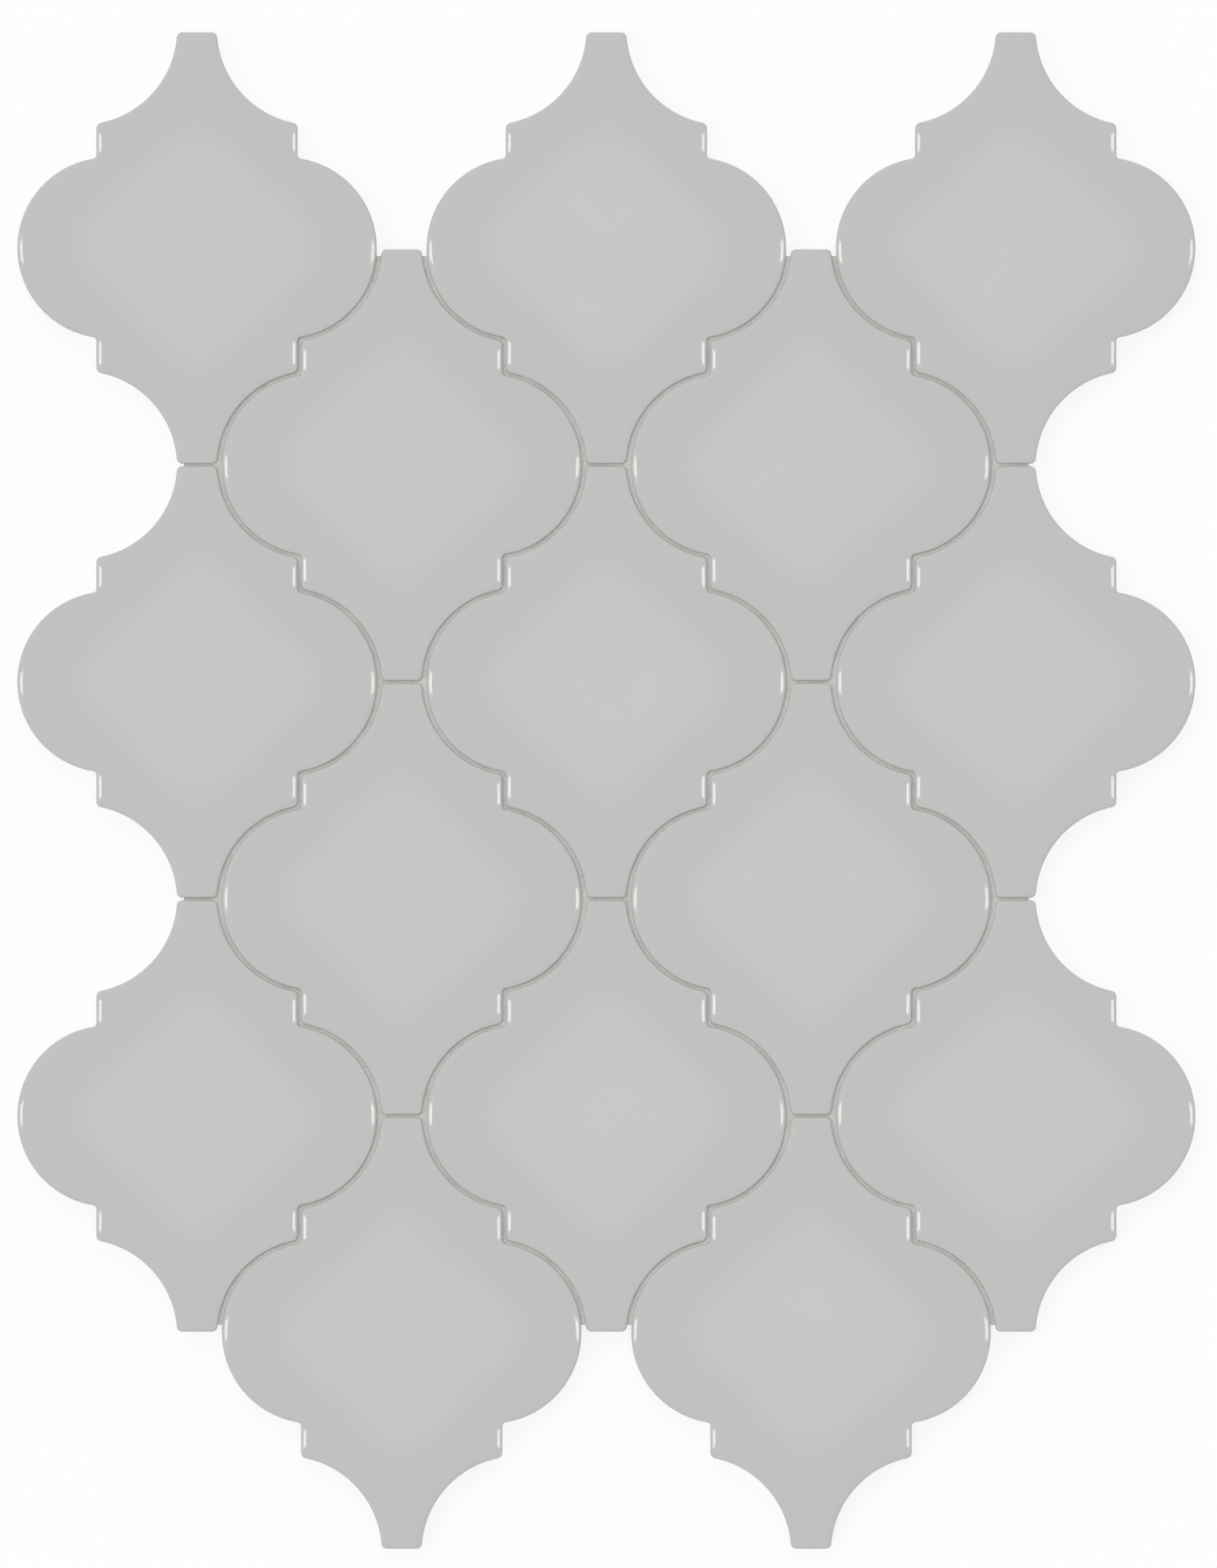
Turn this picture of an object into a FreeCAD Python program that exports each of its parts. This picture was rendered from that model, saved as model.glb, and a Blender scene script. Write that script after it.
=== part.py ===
import FreeCAD, Part
import math
import os

# Sheet of arabesque lantern tiles held edge to edge by its filled joints, in mm.
# It lies face up with the tile backs on z = 0, columns along X, the tall axis of each tile along Y.
# Every second column sits half a row lower, so the necks of one column fill the hollows of the next.

# Sheet layout
COLUMNS = 5
ROWS = 3

# Joints: between facing steps, beside a neck, and between two neck tips in line
STEP_JOINT = 0.75
NECK_JOINT = 1.15
TIP_JOINT = 0.62

# Joint filler: how far its cut ends, its top and its back stand in from the tiles
FILLER_END_SETBACK = 1.6
FILLER_TOP_RECESS = 0.05
FILLER_BACK_RECESS = 0.4

# Tile outline
BULGE_RADIUS = 21.14
BULGE_SPREAD = 41.70
NECK_WIDTH = 9.34
STEP_HEIGHT = 8.11
TIP_CORNER_RADIUS = 1.3
STEP_HEAD_RADIUS = 1.4
STEP_ROOT_RADIUS = 0.9

# Tile section: the face edge is rounded, by no more than this share of a corner's own radius
THICKNESS = 8.0
EDGE_RADIUS = 0.8
EDGE_TO_CORNER = 0.8

# Keying grooves across the back
GROOVE_WIDTH = 3.2
GROOVE_PITCH = 7.0
GROOVE_DEPTH = 0.6
BACK_RIM = 3.5

# Sizes that follow: each hollow flank runs around the neighbour's bulge
bulge_x = BULGE_SPREAD / 2
flank_radius = BULGE_RADIUS + NECK_JOINT
flank_x = NECK_WIDTH / 2 + flank_radius
column_pitch = bulge_x + flank_x
tile_half_width = bulge_x + BULGE_RADIUS
step_x = (column_pitch - STEP_JOINT) / 2
step_root_y = math.sqrt(BULGE_RADIUS**2 - (step_x - bulge_x)**2)
step_head_y = step_root_y + STEP_HEIGHT
flank_y = step_head_y + math.sqrt(flank_radius**2 - (flank_x - step_x)**2)

# The flank's centre stands above the neighbour's, so the joint narrows from the neck to the step
half_row_pitch = flank_y - (NECK_JOINT - STEP_JOINT)
tip_y = half_row_pitch - TIP_JOINT / 2
edge_radius = min(EDGE_RADIUS, EDGE_TO_CORNER * min(TIP_CORNER_RADIUS, STEP_HEAD_RADIUS))


def flank_half_width(y):
    """Half the width of the neck at a height y above the tile's centre."""
    return flank_x - math.sqrt(flank_radius**2 - (flank_y - y)**2)


def half_width(y):
    """Half the width of the tile at a height y above its centre."""
    if y < step_root_y:
        return bulge_x + math.sqrt(BULGE_RADIUS**2 - y**2)
    if y < step_head_y:
        return step_x
    return flank_half_width(y)


def arc(start, middle, end):
    return Part.Arc(start, middle, end).toShape()


def quarter_edges(side, end):
    """Outline edges of one quarter, from the bulge's outermost point to the middle of the neck tip."""
    def point(x, y):
        return FreeCAD.Vector(side * x, end * y, 0)

    bulge_angle = math.atan2(step_root_y, step_x - bulge_x) / 2
    bulge_outer = point(tile_half_width, 0)
    bulge_middle = point(
        bulge_x + BULGE_RADIUS * math.cos(bulge_angle),
        BULGE_RADIUS * math.sin(bulge_angle),
    )
    step_root = point(step_x, step_root_y)
    step_head = point(step_x, step_head_y)
    flank_middle_y = (step_head_y + tip_y) / 2
    flank_middle = point(flank_half_width(flank_middle_y), flank_middle_y)
    tip_corner = point(flank_half_width(tip_y), tip_y)
    return [
        arc(bulge_outer, bulge_middle, step_root),
        Part.LineSegment(step_root, step_head).toShape(),
        arc(step_head, flank_middle, tip_corner),
        Part.LineSegment(tip_corner, point(0, tip_y)).toShape(),
    ]


def round_upright_edges(solid, x, y, radius):
    """Round the four upright edges that stand at (+-x, +-y)."""
    def stands_there(edge):
        return all(
            math.isclose(abs(vertex.X), x, abs_tol=1e-4) and math.isclose(abs(vertex.Y), y, abs_tol=1e-4)
            for vertex in edge.Vertexes
        )

    return solid.makeFillet(radius, [edge for edge in solid.Edges if stands_there(edge)])


def tile_prism():
    """The tile's outline at full thickness, with its corners rounded and its face edge still sharp."""
    edges = []
    for side in (1, -1):
        for end in (1, -1):
            edges += quarter_edges(side, end)
    outline = Part.Wire(Part.__sortEdges__(edges))
    prism = Part.Face(outline).extrude(FreeCAD.Vector(0, 0, THICKNESS)).removeSplitter()
    prism = round_upright_edges(prism, flank_half_width(tip_y), tip_y, TIP_CORNER_RADIUS)
    prism = round_upright_edges(prism, step_x, step_head_y, STEP_HEAD_RADIUS)
    return round_upright_edges(prism, step_x, step_root_y, STEP_ROOT_RADIUS)


def back_grooves():
    """Grooves across the back, one to each side of the middle land and on towards both tips."""
    grooves = []
    groove_y = GROOVE_PITCH / 2
    while groove_y + GROOVE_WIDTH / 2 + BACK_RIM < tip_y:
        half_length = half_width(groove_y + GROOVE_WIDTH / 2) - BACK_RIM
        if half_length > GROOVE_WIDTH / 2:
            for y in (groove_y, -groove_y):
                corner = FreeCAD.Vector(-half_length, y - GROOVE_WIDTH / 2, 0)
                grooves.append(Part.makeBox(2 * half_length, GROOVE_WIDTH, GROOVE_DEPTH, corner))
        groove_y += GROOVE_PITCH
    return Part.makeCompound(grooves)


def tile_solid(prism):
    """One fired tile: the prism with its face edge rounded over and its back grooved."""
    face_edges = [
        edge for edge in prism.Edges
        if all(math.isclose(vertex.Z, THICKNESS, abs_tol=1e-6) for vertex in edge.Vertexes)
    ]
    return prism.makeFillet(edge_radius, face_edges).cut(back_grooves())


def tile_places():
    """Name and centre of every tile, columns counted from the left and rows from the top."""
    places = []
    for column in range(COLUMNS):
        drop = half_row_pitch * (column % 2)
        for row in range(ROWS):
            x = column_pitch * (column - (COLUMNS - 1) / 2)
            y = half_row_pitch * (ROWS - 0.5 - 2 * row) - drop
            places.append((f"tile_col{column + 1}_row{row + 1}", FreeCAD.Vector(x, y, 0)))
    return places


def joint_filler(prism, places):
    """The net of filled joints, cut off flat along the four sides of the sheet."""
    half_length_x = column_pitch * (COLUMNS - 1) / 2 + NECK_WIDTH / 2 - FILLER_END_SETBACK
    half_length_y = half_row_pitch * (ROWS - 1.5) + tip_y - FILLER_END_SETBACK
    height = THICKNESS - edge_radius - FILLER_TOP_RECESS - FILLER_BACK_RECESS
    corner = FreeCAD.Vector(-half_length_x, -half_length_y, FILLER_BACK_RECESS)
    block = Part.makeBox(2 * half_length_x, 2 * half_length_y, height, corner)
    return block.cut([prism.translated(place) for name, place in places])


os.makedirs("parts", exist_ok=True)
prism = tile_prism()
tile = tile_solid(prism)
places = tile_places()
for name, place in places:
    tile.translated(place).exportStep(f"parts/{name}.step")
joint_filler(prism, places).exportStep("parts/joint_filler.step")
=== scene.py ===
import math

import bpy
import numpy as np
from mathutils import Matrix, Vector, noise
from mathutils.geometry import delaunay_2d_cdt
from mathutils.kdtree import KDTree


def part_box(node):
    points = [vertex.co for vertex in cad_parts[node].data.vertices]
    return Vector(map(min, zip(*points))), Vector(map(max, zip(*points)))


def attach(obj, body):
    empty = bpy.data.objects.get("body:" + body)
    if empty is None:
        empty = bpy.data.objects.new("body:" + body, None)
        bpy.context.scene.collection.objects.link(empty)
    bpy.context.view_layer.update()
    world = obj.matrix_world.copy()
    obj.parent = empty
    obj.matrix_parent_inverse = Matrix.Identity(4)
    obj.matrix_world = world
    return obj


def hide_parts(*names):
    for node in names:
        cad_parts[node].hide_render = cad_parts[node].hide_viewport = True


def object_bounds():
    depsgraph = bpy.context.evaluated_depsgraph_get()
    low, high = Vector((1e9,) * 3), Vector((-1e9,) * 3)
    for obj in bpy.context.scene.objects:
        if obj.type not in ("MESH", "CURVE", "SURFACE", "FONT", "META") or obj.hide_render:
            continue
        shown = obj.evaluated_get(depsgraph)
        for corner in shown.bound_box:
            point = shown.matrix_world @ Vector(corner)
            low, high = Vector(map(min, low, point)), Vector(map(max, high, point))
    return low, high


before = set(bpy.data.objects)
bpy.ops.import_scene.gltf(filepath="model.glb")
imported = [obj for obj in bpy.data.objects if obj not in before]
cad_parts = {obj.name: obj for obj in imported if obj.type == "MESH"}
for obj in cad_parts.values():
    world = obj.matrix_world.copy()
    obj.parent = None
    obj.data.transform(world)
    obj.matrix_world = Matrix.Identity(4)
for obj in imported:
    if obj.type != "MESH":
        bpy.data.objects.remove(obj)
cad_low, cad_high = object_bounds()

MM = 0.001

# Photograph: its size, its scale and where the sheet's middle falls in it, and the camera's height
IMAGE_WIDTH = 1535
IMAGE_HEIGHT = 1978
PIXELS_PER_METRE = 5400
SHEET_MIDDLE_PIXEL = (764.8, 997.2)
CAMERA_HEIGHT = 12.5

# Joints and tile outline, as in the solids
STEP_JOINT = 0.75 * MM
NECK_JOINT = 1.15 * MM
BULGE_RADIUS = 21.14 * MM
TIP_CORNER_RADIUS = 1.3 * MM
STEP_HEAD_RADIUS = 1.4 * MM
STEP_ROOT_RADIUS = 0.9 * MM

# Face: a slight crown, an edge that falls away as softly as glaze flows, and a nipped rim
CROWN = 0.1 * MM
EDGE_EASING = 0.75 * MM
EDGE_DROP = 0.248 * MM
RIM_RUN = 0.25 * MM
RIM_DROP = 0.6 * MM

# Lighter middle of the face, painted light in the glaze colour, whose share also sets the crown's plateau:
# the tile's shape, softened, and the band of it over which the middle fades
MIDDLE_EASING = 8.0 * MM
MIDDLE_BAND = (0.86, 1.04)

# Back: worn lower edge and keying grooves, the grooves as in the solids but with slanted walls
BACK_EDGE = 0.3 * MM
GROOVE_WIDTH = 3.2 * MM
GROOVE_PITCH = 7.0 * MM
GROOVE_DEPTH = 0.6 * MM
GROOVE_TAPER = 0.3 * MM
GROOVE_CORNERS = 4
BACK_RIM = 3.5 * MM

# Glaze coat: its thickness, and the wandering line on the tile's sides where it ends
GLAZE_COAT = 0.1 * MM
GLAZE_FOOT = 0.2 * MM
GLAZE_LINE = 4.6 * MM
GLAZE_LINE_WANDER = 0.9 * MM
GLAZE_LINE_WAVE = 9.0 * MM

# Joint filler: its top, struck hollow so that it rises beside the tiles, with sand standing out of it
FILLER_TOP = 6.75 * MM
FILLER_RISE = 0.13 * MM
FILLER_RISE_REACH = 0.36 * MM
FILLER_SAND = 0.03 * MM
FILLER_SAND_SIZE = 0.5 * MM

# Mesh: spacing along outlines and over the face, rings along the edges, the angle that stays sharp
OUTLINE_SPACING = 1.0 * MM
CORNER_STEPS = 8
LINE_STEPS = 2
FACE_SPACING = 2.0 * MM
FACE_GRID_GAP = FACE_SPACING / 3
RING_COUNT = 18
RING_REACH = 2.4 * MM
RING_CROWDING = 1.8
RING_SLACK = 0.97
FILLER_RINGS = (0.06 * MM, 0.12 * MM, 0.18 * MM, 0.26 * MM, 0.4 * MM, 0.55 * MM)
SHARP_ANGLE = math.radians(30)

# Triangulation: the smallest length it tells apart, and which triangles it gives back
CDT_EPSILON = 1e-7
CDT_ALL = 0
CDT_INSIDE = 1

# Bell curve by its running share, from far below its middle to far above, and the slices it is summed in
BELL_REACH = 6
BELL_SAMPLES = 2401
BELL_DEVIATIONS = np.linspace(-BELL_REACH, BELL_REACH, BELL_SAMPLES)
BELL_SHARES = np.array([math.erfc(-d / math.sqrt(2)) / 2 for d in BELL_DEVIATIONS])
SLICE_HEIGHT = 0.25 * MM

# Glaze material
GLAZE = (0.525, 0.525, 0.513, 1)
# The middle colour is painted light: a lighter glaze that stands in for the soft light brightening the
# middle of each face
GLAZE_PAINTED_LIGHT_MIDDLE = (0.568, 0.568, 0.555, 1)
GLAZE_CLOUD = (0.992, 1.008)
GLAZE_ROUGHNESS = (0.04, 0.06)
GLAZE_IOR = 1.5
GLAZE_RIPPLE = 0.35

# Bare body material, and the bump that body and glaze share, as strength and distance
BODY_PALE = (0.72, 0.68, 0.61, 1)
BODY_DARK = (0.60, 0.55, 0.48, 1)
BODY_ROUGHNESS = 0.88
TILE_BUMP = (0.25, 0.05 * MM)

# Filler material
FILLER_PALE = (0.67, 0.68, 0.655, 1)
FILLER_DARK = (0.465, 0.475, 0.45, 1)
FILLER_SAND_SHARE = 0.7
FILLER_ROUGHNESS = 0.95
FILLER_SPECULAR = 0.25
FILLER_BUMP = (0.6, 0.12 * MM)

# Noise in the materials, as scale per metre, detail and roughness
CLOUD_NOISE = (45.0, 3.0, 0.5)
GLOSS_NOISE = (70.0, 2.0, 0.5)
RIPPLE_NOISE = (260.0, 1.0, 0.5)
BODY_NOISE = (900.0, 4.0, 0.65)
GRAIN_NOISE = (2600.0, 3.0, 0.6)
SAND_NOISE = (2200.0, 3.0, 0.7)
PATCH_NOISE = (180.0, 2.0, 0.5)

# Spans of noise that are stretched over a material's own range
GLAZE_SPAN = (0.3, 0.7)
BODY_SPAN = (0.35, 0.7)
FILLER_SPAN = (0.35, 0.65)
FULL_RANGE = (0.0, 1.0)

# Floor and dome
WHITE = (1, 1, 1, 1)
BACKDROP_STRENGTH = 1.0
FLOOR_COLOUR = (0.96, 0.96, 0.96, 1)
FLOOR_SIZE = 8.0
FLOOR_DROP = 0.1 * MM
FLOOR_GLOW = 0.85
DOME_LIGHT = 0.578

# Lamps: angles in degrees, azimuths from +X towards +Y and zeniths from straight up
STRIP_AZIMUTHS = {"right": 0.0, "left": 180.0}
STRIP_HALF_AZIMUTH = 6.8
STRIP_ZENITHS = (8.4, 21.45)
STRIP_PANELS = 4
STRIP_DISTANCE = 200.0
STRIP_RADIANCE = 7.8
KEY_AZIMUTHS = {"upper_key": 90.0, "left_key": 180.0}
KEY_ZENITH = 32.0
KEY_DISTANCE = 40.0
KEY_SIZE = 20.0
KEY_RADIANCE = 2.7

tile_names = sorted(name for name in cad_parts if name.startswith("tile_"))


def tile_centre(name):
    low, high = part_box(name)
    return (low + high) / 2


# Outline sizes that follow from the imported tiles
tile_low, tile_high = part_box("tile_col3_row2")
half_tile = (tile_high - tile_low) / 2
pitch = tile_centre("tile_col2_row1") - tile_centre("tile_col1_row1")
column_pitch = pitch.x
half_row_pitch = -pitch.y
thickness = tile_high.z
tip_y = half_tile.y
bulge_x = half_tile.x - BULGE_RADIUS
flank_radius = BULGE_RADIUS + NECK_JOINT
flank_x = column_pitch - bulge_x
flank_y = half_row_pitch + NECK_JOINT - STEP_JOINT
step_x = (column_pitch - STEP_JOINT) / 2
step_root_y = math.sqrt(BULGE_RADIUS**2 - (step_x - bulge_x)**2)
step_head_y = flank_y - math.sqrt(flank_radius**2 - (flank_x - step_x)**2)


def half_width(y):
    """Half the width of the tile at a height y above its centre."""
    if y < step_root_y:
        return bulge_x + math.sqrt(BULGE_RADIUS**2 - y**2)
    if y < step_head_y:
        return step_x
    return flank_x - math.sqrt(flank_radius**2 - (flank_y - y)**2)


def arc(centre, radius, start, end, side):
    """Points along an arc, and outward normals there; side is -1 where the tile lies outside the arc."""
    count = max(CORNER_STEPS, math.ceil(abs(end - start) * radius / OUTLINE_SPACING))
    angles = np.linspace(start, end, count + 1)
    radial = np.column_stack((np.cos(angles), np.sin(angles)))
    return np.array(centre) + radius * radial, side * radial


def line(start, end, normal):
    """Points along a straight run, and outward normals there."""
    start = np.array(start)
    end = np.array(end)
    count = max(LINE_STEPS, math.ceil(np.linalg.norm(end - start) / OUTLINE_SPACING))
    shares = np.linspace(0, 1, count + 1)[:, None]
    return start + shares * (end - start), np.tile(np.array(normal, float), (count + 1, 1))


def quarter_outline():
    """The outline's first quarter, from the bulge's outermost point to the middle of the neck tip."""
    root_x = step_x + STEP_ROOT_RADIUS
    root_y = math.sqrt((BULGE_RADIUS + STEP_ROOT_RADIUS)**2 - (root_x - bulge_x)**2)
    root_angle = math.atan2(root_y, root_x - bulge_x)
    head_x = step_x - STEP_HEAD_RADIUS
    head_y = flank_y - math.sqrt((flank_radius + STEP_HEAD_RADIUS)**2 - (flank_x - head_x)**2)
    head_angle = math.atan2(flank_y - head_y, flank_x - head_x)
    corner_y = tip_y - TIP_CORNER_RADIUS
    corner_x = flank_x - math.sqrt((flank_radius + TIP_CORNER_RADIUS)**2 - (flank_y - corner_y)**2)
    corner_angle = math.atan2(flank_y - corner_y, flank_x - corner_x)
    runs = [
        arc((bulge_x, 0), BULGE_RADIUS, 0, root_angle, 1),
        arc((root_x, root_y), STEP_ROOT_RADIUS, root_angle + math.pi, math.pi, -1),
        line((step_x, root_y), (step_x, head_y), (1, 0)),
        arc((head_x, head_y), STEP_HEAD_RADIUS, 0, head_angle, 1),
        arc((flank_x, flank_y), flank_radius, head_angle + math.pi, corner_angle + math.pi, -1),
        arc((corner_x, corner_y), TIP_CORNER_RADIUS, corner_angle, math.pi / 2, 1),
        line((corner_x, tip_y), (0, tip_y), (0, 1)),
    ]
    points = np.vstack([run[0][:-1] for run in runs] + [runs[-1][0][-1:]])
    normals = np.vstack([run[1][:-1] for run in runs] + [runs[-1][1][-1:]])
    return points, normals


def tile_outline():
    """The whole outline, counter-clockwise, as points and outward normals."""
    points, normals = quarter_outline()
    mirrors = ((1, 1, 1), (-1, 1, -1), (-1, -1, 1), (1, -1, -1))
    all_points = [points[::step][:-1] * (x, y) for x, y, step in mirrors]
    all_normals = [normals[::step][:-1] * (x, y) for x, y, step in mirrors]
    return np.vstack(all_points), np.vstack(all_normals)


def distance_to(points, targets):
    """Distance from each point to the nearest target."""
    gaps = points[:, None, :] - targets[None, :, :]
    return np.sqrt((gaps**2).sum(axis=2)).min(axis=1)


def smooth_step(low, high, value):
    share = np.clip((value - low) / (high - low), 0, 1)
    return share * share * (3 - 2 * share)


def bell_share(deviations):
    """Share of a bell curve that lies below a number of standard deviations."""
    return np.interp(deviations, BELL_DEVIATIONS, BELL_SHARES)


def tile_share(points, easing):
    """Share of a bell curve round each point that the tile takes up: 1 well inside, a half on an edge."""
    quarter, _ = quarter_outline()
    slice_edges = np.linspace(-tip_y, tip_y, round(2 * tip_y / SLICE_HEIGHT) + 1)
    slice_middles = (slice_edges[1:] + slice_edges[:-1]) / 2
    half_widths = np.interp(np.abs(slice_middles), quarter[:, 1], quarter[:, 0])
    x = points[:, :1]
    y = points[:, 1:]
    in_slice = np.diff(bell_share((slice_edges - y) / easing), axis=1)
    across = bell_share((half_widths - x) / easing) - bell_share((-half_widths - x) / easing)
    return (in_slice * across).sum(axis=1)


def middle_share(points):
    """Near 1 in the middle of the face, fading to 0 well before the edge; it sets the crown and the painted
    light of the lighter middle.
    """
    return smooth_step(*MIDDLE_BAND, tile_share(points, MIDDLE_EASING))


def face_points(outline, normals):
    """Face points as x and y, rings along the edge first, and how far each lies from the edge."""
    points = []
    depths = []
    for inset in RING_REACH * np.linspace(0, 1, RING_COUNT + 1)**RING_CROWDING:
        ring = outline - normals * inset
        ring = ring[distance_to(ring, outline) >= inset * RING_SLACK]
        points.append(ring)
        depths.append(np.full(len(ring), inset))
    columns = np.arange(-half_tile.x, half_tile.x, FACE_SPACING)
    rows = np.arange(-tip_y, tip_y, FACE_SPACING * math.sqrt(3) / 2)
    grid = np.array([
        (x + FACE_SPACING / 2 * (index % 2), y) for index, y in enumerate(rows) for x in columns
        if abs(x) < half_width(abs(y))
    ])
    grid_depths = distance_to(grid, outline)
    inner = grid_depths > RING_REACH + FACE_GRID_GAP
    points.append(grid[inner])
    depths.append(grid_depths[inner])
    return np.vstack(points), np.concatenate(depths)


def face_height(points, depths):
    """Height of the face: the crown's plateau less the fall towards the edge and the nip of the rim."""
    fall = 2 * EDGE_DROP * (1 - tile_share(points, EDGE_EASING))
    nip = RIM_DROP * (1 - np.sqrt(1 - np.clip(1 - depths / RIM_RUN, 0, 1)**2))
    middle = middle_share(points)
    return thickness - CROWN * (middle.max() - middle) - fall - nip


def loop_edges(start, count):
    return [(start + i, start + (i + 1) % count) for i in range(count)]


def triangulate(points, edges):
    """Constrained triangles inside the given edges, as indices of the points."""
    result = delaunay_2d_cdt([Vector(p) for p in points], edges, [], CDT_INSIDE, CDT_EPSILON)
    source = [origins[0] for origins in result[3]]
    return [tuple(source[i] for i in face) for face in result[2]]


class MeshData:
    """Vertices and faces of a mesh in the making."""

    def __init__(self):
        self.vertices = np.empty((0, 3))
        self.faces = []

    def add_points(self, points, heights):
        """Add flat points, at one height or at a height each, and give the index of the first."""
        start = len(self.vertices)
        added = np.column_stack((points, np.broadcast_to(heights, len(points))))
        self.vertices = np.vstack((self.vertices, added))
        return start

    def join_rings(self, upper, lower, size):
        """Close the band between two rings of points, each given by the index of its first."""
        for i in range(size):
            after = (i + 1) % size
            self.faces.append((upper + i, lower + i, lower + after, upper + after))


def back_grooves():
    """Half length and middle of each groove across the back."""
    grooves = []
    groove_y = GROOVE_PITCH / 2
    while groove_y + GROOVE_WIDTH / 2 + BACK_RIM < tip_y:
        half_length = half_width(groove_y + GROOVE_WIDTH / 2) - BACK_RIM
        if half_length > GROOVE_WIDTH / 2:
            grooves += [(half_length, groove_y), (half_length, -groove_y)]
        groove_y += GROOVE_PITCH
    return grooves


def groove_corners(half_length, middle_y, inset):
    x = half_length - inset
    y = GROOVE_WIDTH / 2 - inset
    return [(-x, middle_y - y), (x, middle_y - y), (x, middle_y + y), (-x, middle_y + y)]


def add_back(data, outline):
    """Add the back inside its outline, with the grooves sunk into it, and give its first index."""
    size = len(outline)
    grooves = back_grooves()
    mouths = [corner for groove in grooves for corner in groove_corners(*groove, 0)]
    floors = [corner for groove in grooves for corner in groove_corners(*groove, GROOVE_TAPER)]
    points = np.vstack((outline, mouths))
    start = data.add_points(points, 0)
    floor = data.add_points(np.array(floors), GROOVE_DEPTH)
    edges = loop_edges(0, size)
    for first in range(size, len(points), GROOVE_CORNERS):
        edges += loop_edges(first, GROOVE_CORNERS)

    def groove_of(index):
        return (index - size) // GROOVE_CORNERS if index >= size else -1

    for a, b, c in triangulate(points, edges):
        over_groove = groove_of(a) == groove_of(b) == groove_of(c) >= 0
        if not over_groove:
            data.faces.append((start + c, start + b, start + a))
    for first in range(0, len(floors), GROOVE_CORNERS):
        data.join_rings(start + size + first, floor + first, GROOVE_CORNERS)
        data.faces.append(tuple(floor + first + i for i in reversed(range(GROOVE_CORNERS))))
    return start


def tile_mesh_data():
    """One tile about its own middle, and the first index and the size of the glaze's lower ring."""
    data = MeshData()
    outline, normals = tile_outline()
    size = len(outline)
    flat, depths = face_points(outline, normals)
    face = data.add_points(flat, face_height(flat, depths))
    data.faces += triangulate(flat, loop_edges(0, size))
    body_outline = outline - normals * GLAZE_COAT
    glaze_foot = data.add_points(outline, GLAZE_LINE)
    body_head = data.add_points(body_outline, GLAZE_LINE - GLAZE_FOOT)
    body_foot = data.add_points(body_outline, BACK_EDGE)
    back = add_back(data, body_outline - normals * BACK_EDGE)
    rings = (face, glaze_foot, body_head, body_foot, back)
    for upper, lower in zip(rings[:-1], rings[1:]):
        data.join_rings(upper, lower, size)
    return data, glaze_foot, size


def add_mesh(name, vertices, faces, material):
    """A mesh object in the scene, shaded smooth but for its sharp edges."""
    mesh = bpy.data.meshes.new(name)
    mesh.from_pydata(vertices, [], faces)
    mesh.polygons.foreach_set("use_smooth", [True] * len(mesh.polygons))
    mesh.set_sharp_from_angle(angle=SHARP_ANGLE)
    mesh.materials.append(material)
    piece = bpy.data.objects.new(name, mesh)
    bpy.context.scene.collection.objects.link(piece)
    return piece


def glaze_line(points):
    """Height of the glaze's lower end at each point of a tile's outline."""
    wander = [noise.noise(Vector((x, y, 0)) / GLAZE_LINE_WAVE) for x, y in points]
    return GLAZE_LINE + GLAZE_LINE_WANDER * np.array(wander)


def make_tiles(material):
    """The tiles, alike apart from the line where each one's glaze ends."""
    data, glaze_foot, size = tile_mesh_data()
    body_head = glaze_foot + size
    # Share of painted light in the glaze colour, near 1 in the middle of each face, stored as the middle
    # attribute
    painted_light_shares = middle_share(data.vertices[:, :2])
    glaze_shares = (np.arange(len(data.vertices)) < body_head).astype(float)
    for name in tile_names:
        centre = tile_centre(name)
        placed = data.vertices + (centre.x, centre.y, 0)
        line_heights = glaze_line(placed[glaze_foot:body_head, :2])
        placed[glaze_foot:body_head, 2] = line_heights
        placed[body_head:body_head + size, 2] = line_heights - GLAZE_FOOT
        tile = add_mesh("glazed_" + name, placed.tolist(), data.faces, material)
        for attribute, values in (("middle", painted_light_shares), ("glaze", glaze_shares)):
            tile.data.attributes.new(attribute, "FLOAT", "POINT").data.foreach_set("value", values)
        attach(tile, "root")
        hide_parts(name)


class Outlines:
    """All the tiles' outlines, and how far points lie from them."""

    def __init__(self):
        outline, normals = tile_outline()
        centres = [tile_centre(name) for name in tile_names]
        self.size = len(outline)
        self.points = np.vstack([outline + (c.x, c.y) for c in centres])
        self.normals = np.tile(normals, (len(centres), 1))
        self.tree = KDTree(len(self.points))
        for index, (x, y) in enumerate(self.points):
            self.tree.insert((x, y, 0), index)
        self.tree.balance()

    def edges(self):
        starts = range(0, len(self.points), self.size)
        return [edge for start in starts for edge in loop_edges(start, self.size)]

    def distance(self, points):
        """Distance of each point from the nearest outline, negative inside a tile."""
        distances = []
        for x, y in points:
            near, index, distance = self.tree.find((x, y, 0))
            normal_x, normal_y = self.normals[index]
            outward = (x - near.x) * normal_x + (y - near.y) * normal_y
            distances.append(math.copysign(distance, outward))
        return np.array(distances)


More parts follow.
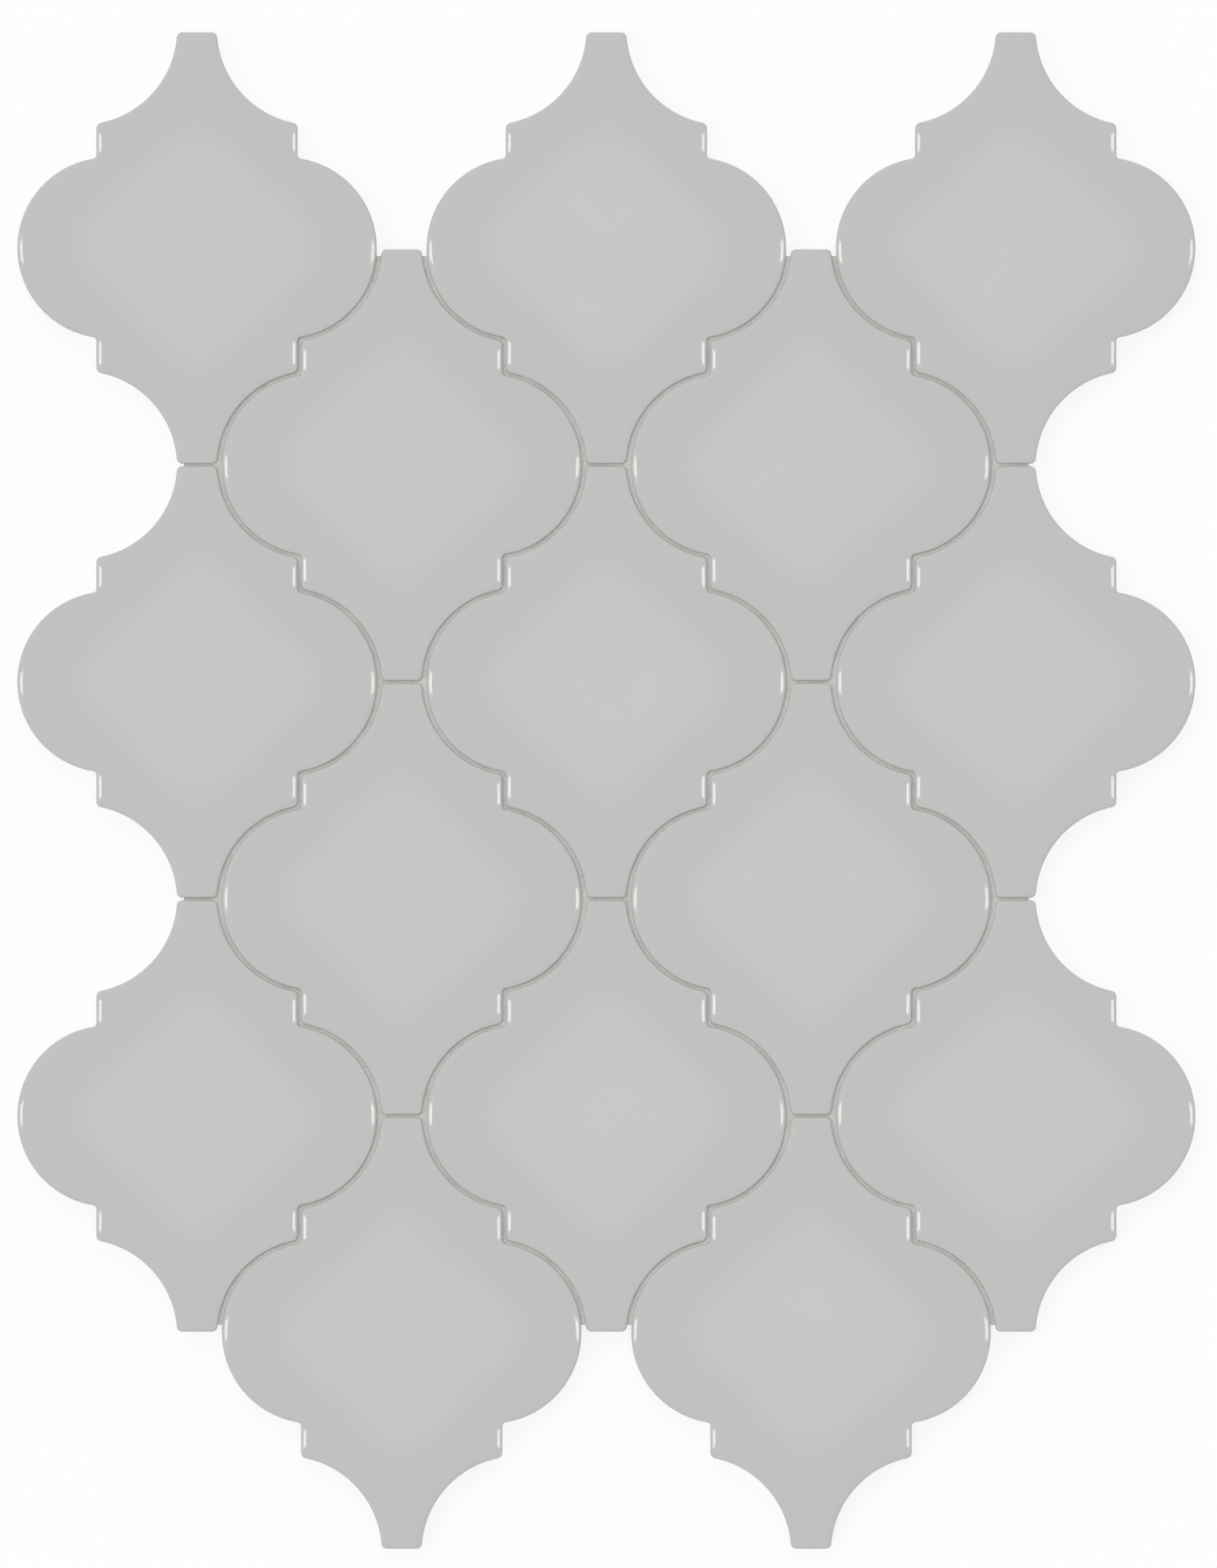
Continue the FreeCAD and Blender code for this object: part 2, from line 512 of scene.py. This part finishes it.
def filler_plan(outlines, low, high):
    """The filled joints in plan, as points and triangles: all that no tile takes up between two corners."""
    def in_box(points):
        return np.all((points > low) & (points < high), axis=1)

    groups = [outlines.points]
    for offset in FILLER_RINGS:
        ring = outlines.points + outlines.normals * offset
        ring = ring[in_box(ring)]
        groups.append(ring[outlines.distance(ring) > offset * RING_SLACK])
    box_start = sum(len(group) for group in groups)
    box = [(low.x, low.y), (high.x, low.y), (high.x, high.y), (low.x, high.y)]
    points = np.vstack(groups + [box])
    edges = outlines.edges() + loop_edges(box_start, len(box))
    result = delaunay_2d_cdt([Vector(p) for p in points], edges, [], CDT_ALL, CDT_EPSILON)
    made = np.array([tuple(v) for v in result[0]])
    triangles = result[2]
    middles = made[np.array(triangles)].mean(axis=1)
    in_joint = in_box(middles) & (outlines.distance(middles) > 0)
    kept = [triangle for triangle, keep in zip(triangles, in_joint) if keep]
    used = sorted({i for triangle in kept for i in triangle})
    place = {old: new for new, old in enumerate(used)}
    return made[used], [tuple(place[i] for i in triangle) for triangle in kept]


def filler_mesh_data():
    """The filled joints as one net, with a hollow, sandy top, a flat back and upright sides."""
    low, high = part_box("joint_filler")
    outlines = Outlines()
    flat, triangles = filler_plan(outlines, low.xy, high.xy)
    gaps = np.abs(outlines.distance(flat))
    sand = np.array([noise.noise(Vector((x, y, 0)) / FILLER_SAND_SIZE) for x, y in flat])
    rise = FILLER_RISE * (1 - smooth_step(0, FILLER_RISE_REACH, gaps))
    data = MeshData()
    data.add_points(flat, FILLER_TOP + rise + FILLER_SAND * sand)
    back = data.add_points(flat, low.z)
    data.faces += triangles
    data.faces += [tuple(back + i for i in reversed(triangle)) for triangle in triangles]
    sides = {pair for a, b, c in triangles for pair in ((a, b), (b, c), (c, a))}
    data.faces += [(b, a, back + a, back + b) for a, b in sides if (b, a) not in sides]
    return data


def make_filler(material):
    data = filler_mesh_data()
    filler = add_mesh("joint_filler_net", data.vertices.tolist(), data.faces, material)
    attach(filler, "root")
    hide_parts("joint_filler")


class Nodes:
    """Short calls for building a node tree."""

    def __init__(self, tree):
        self.tree = tree
        tree.nodes.clear()

    def add(self, kind, inputs=None, **settings):
        node = self.tree.nodes.new(kind)
        for key, value in settings.items():
            setattr(node, key, value)
        for key, value in (inputs or {}).items():
            if isinstance(value, bpy.types.NodeSocket):
                self.tree.links.new(value, node.inputs[key])
            else:
                node.inputs[key].default_value = value
        return node

    def noise(self, position, scale, detail, roughness):
        return self.add(
            "ShaderNodeTexNoise",
            {"Vector": position, "Scale": scale, "Detail": detail, "Roughness": roughness},
        ).outputs["Fac"]

    def remap(self, value, span, result):
        inputs = {
            "Value": value,
            "From Min": span[0],
            "From Max": span[1],
            "To Min": result[0],
            "To Max": result[1],
        }
        return self.add("ShaderNodeMapRange", inputs).outputs["Result"]

    def math(self, operation, first, second):
        return self.add("ShaderNodeMath", {0: first, 1: second}, operation=operation).outputs[0]

    # The mix node's sockets are told apart by their places, because all its kinds share their names
    def mix_values(self, share, first, second):
        node = self.add("ShaderNodeMix", {0: share, 2: first, 3: second}, data_type="FLOAT")
        return node.outputs[0]

    def mix_colours(self, share, first, second):
        node = self.add("ShaderNodeMix", {0: share, 6: first, 7: second}, data_type="RGBA")
        return node.outputs[2]

    def scale_colour(self, colour, factor):
        return self.add(
            "ShaderNodeVectorMath", {0: colour, "Scale": factor}, operation="SCALE"
        ).outputs["Vector"]

    def attribute(self, name):
        return self.add("ShaderNodeAttribute", attribute_name=name).outputs["Fac"]

    def bump(self, height, strength, distance):
        return self.add(
            "ShaderNodeBump", {"Height": height, "Strength": strength, "Distance": distance}
        ).outputs["Normal"]

    def position(self):
        return self.add("ShaderNodeTexCoord").outputs["Object"]


def new_material(name):
    material = bpy.data.materials.new(name)
    material.use_nodes = True
    return material, Nodes(material.node_tree)


def tile_material():
    """Glossy grey glaze, with painted light lightening the middle of the face, on the face and down the
    sides to a wandering line, bare body below and behind.
    """
    material, nodes = new_material("glazed_tile")
    position = nodes.position()
    glazed = nodes.attribute("glaze")
    cloud = nodes.remap(nodes.noise(position, *CLOUD_NOISE), GLAZE_SPAN, GLAZE_CLOUD)
    # Painted light: the glaze colour is lighter in the middle of each face
    glaze = nodes.mix_colours(nodes.attribute("middle"), GLAZE, GLAZE_PAINTED_LIGHT_MIDDLE)
    glaze = nodes.scale_colour(glaze, cloud)
    darkness = nodes.remap(nodes.noise(position, *BODY_NOISE), BODY_SPAN, FULL_RANGE)
    body = nodes.mix_colours(darkness, BODY_PALE, BODY_DARK)
    gloss = nodes.remap(nodes.noise(position, *GLOSS_NOISE), GLAZE_SPAN, GLAZE_ROUGHNESS)
    ripple = nodes.math("MULTIPLY", nodes.noise(position, *RIPPLE_NOISE), GLAZE_RIPPLE)
    grain = nodes.noise(position, *GRAIN_NOISE)
    relief = nodes.mix_values(glazed, grain, ripple)
    shader = nodes.add(
        "ShaderNodeBsdfPrincipled",
        {
            "Base Color": nodes.mix_colours(glazed, body, glaze),
            "Roughness": nodes.mix_values(glazed, BODY_ROUGHNESS, gloss),
            "IOR": GLAZE_IOR,
            "Normal": nodes.bump(relief, *TILE_BUMP),
        },
    )
    nodes.add("ShaderNodeOutputMaterial", {"Surface": shader.outputs["BSDF"]})
    return material


def filler_material():
    """Matt cement filler with fine sand in it."""
    material, nodes = new_material("joint_filler")
    position = nodes.position()
    sand = nodes.noise(position, *SAND_NOISE)
    patches = nodes.noise(position, *PATCH_NOISE)
    paleness = nodes.remap(nodes.mix_values(FILLER_SAND_SHARE, patches, sand), FILLER_SPAN, FULL_RANGE)
    shader = nodes.add(
        "ShaderNodeBsdfPrincipled",
        {
            "Base Color": nodes.mix_colours(paleness, FILLER_DARK, FILLER_PALE),
            "Roughness": FILLER_ROUGHNESS,
            "Specular IOR Level": FILLER_SPECULAR,
            "Normal": nodes.bump(sand, *FILLER_BUMP),
        },
    )
    nodes.add("ShaderNodeOutputMaterial", {"Surface": shader.outputs["BSDF"]})
    return material


def backdrop_share(nodes):
    """1 for rays from the camera and for mirrored or see-through ones, which meet a white backdrop."""
    path = nodes.add("ShaderNodeLightPath").outputs
    seen = nodes.math("MAXIMUM", path["Is Camera Ray"], path["Is Glossy Ray"])
    return nodes.math("MAXIMUM", seen, path["Is Transmission Ray"])


def floor_material():
    """White that glows softly towards the camera and still takes the shadow."""
    material, nodes = new_material("floor")
    diffuse = nodes.add("ShaderNodeBsdfDiffuse", {"Color": FLOOR_COLOUR})
    glow = nodes.add("ShaderNodeEmission", {"Color": WHITE, "Strength": BACKDROP_STRENGTH})
    share = nodes.math("MULTIPLY", backdrop_share(nodes), FLOOR_GLOW)
    mixed = nodes.add(
        "ShaderNodeMixShader", {0: share, 1: diffuse.outputs["BSDF"], 2: glow.outputs["Emission"]}
    )
    nodes.add("ShaderNodeOutputMaterial", {"Surface": mixed.outputs["Shader"]})
    return material


def make_floor(material):
    half = FLOOR_SIZE / 2
    z = cad_low.z - FLOOR_DROP
    corners = [(-half, -half, z), (half, -half, z), (half, half, z), (-half, half, z)]
    floor = add_mesh("floor", corners, [(0, 1, 2, 3)], material)


def make_world():
    """Even white dome, which the camera and the gloss see as a white backdrop."""
    world = bpy.data.worlds.new("studio")
    bpy.context.scene.world = world
    world.use_nodes = True
    nodes = Nodes(world.node_tree)
    strength = nodes.remap(backdrop_share(nodes), FULL_RANGE, (DOME_LIGHT, BACKDROP_STRENGTH))
    background = nodes.add("ShaderNodeBackground", {"Color": WHITE, "Strength": strength})
    nodes.add("ShaderNodeOutputWorld", {"Surface": background.outputs["Background"]})


def add_softbox(name, azimuth, zenith, distance, width, height, radiance):
    """A softbox that faces the sheet and that the camera doesn't see."""
    data = bpy.data.lights.new(name, "AREA")
    data.shape = "RECTANGLE"
    data.size = width
    data.size_y = height
    data.energy = radiance * math.pi * width * height
    lamp = bpy.data.objects.new(name, data)
    bpy.context.scene.collection.objects.link(lamp)
    a = math.radians(azimuth)
    z = math.radians(zenith)
    direction = Vector((math.sin(z) * math.cos(a), math.sin(z) * math.sin(a), math.cos(z)))
    lamp.location = direction * distance
    lamp.rotation_euler = (-direction).to_track_quat("-Z", "Y").to_euler()
    lamp.visible_camera = False
    return lamp


def make_strips():
    """Strips of panels at both sides, wider away from the zenith, for the bright bars along the edges."""
    zeniths = np.linspace(*STRIP_ZENITHS, STRIP_PANELS + 1)
    for side, azimuth in STRIP_AZIMUTHS.items():
        for index, (low, high) in enumerate(zip(zeniths[:-1], zeniths[1:])):
            zenith = (low + high) / 2
            height = 2 * STRIP_DISTANCE * math.tan(math.radians(high - low) / 2)
            reach = STRIP_DISTANCE * math.sin(math.radians(zenith))
            width = 2 * reach * math.tan(math.radians(STRIP_HALF_AZIMUTH))
            name = f"{side}_strip_{index + 1}"
            add_softbox(name, azimuth, zenith, STRIP_DISTANCE, width, height, STRIP_RADIANCE)


def make_keys():
    """Two soft keys that shade the joints and leave no reflection of their own."""
    for name, azimuth in KEY_AZIMUTHS.items():
        key = add_softbox(name, azimuth, KEY_ZENITH, KEY_DISTANCE, KEY_SIZE, KEY_SIZE, KEY_RADIANCE)
        key.visible_glossy = False


def make_camera():
    """Straight down on the glazed faces, from so far off that the view has next to no perspective."""
    data = bpy.data.cameras.new("camera")
    distance = CAMERA_HEIGHT - thickness
    data.lens = data.sensor_width * distance * PIXELS_PER_METRE / IMAGE_HEIGHT
    camera = bpy.data.objects.new("camera", data)
    bpy.context.scene.collection.objects.link(camera)
    middle = (cad_low + cad_high) / 2
    right = (IMAGE_WIDTH / 2 - SHEET_MIDDLE_PIXEL[0]) / PIXELS_PER_METRE
    up = (SHEET_MIDDLE_PIXEL[1] - IMAGE_HEIGHT / 2) / PIXELS_PER_METRE
    camera.location = (middle.x + right, middle.y + up, CAMERA_HEIGHT)
    bpy.context.scene.camera = camera


make_camera()
make_tiles(tile_material())
make_filler(filler_material())
make_floor(floor_material())
make_world()
make_strips()
make_keys()

bpy.context.scene.view_settings.view_transform = "Standard"
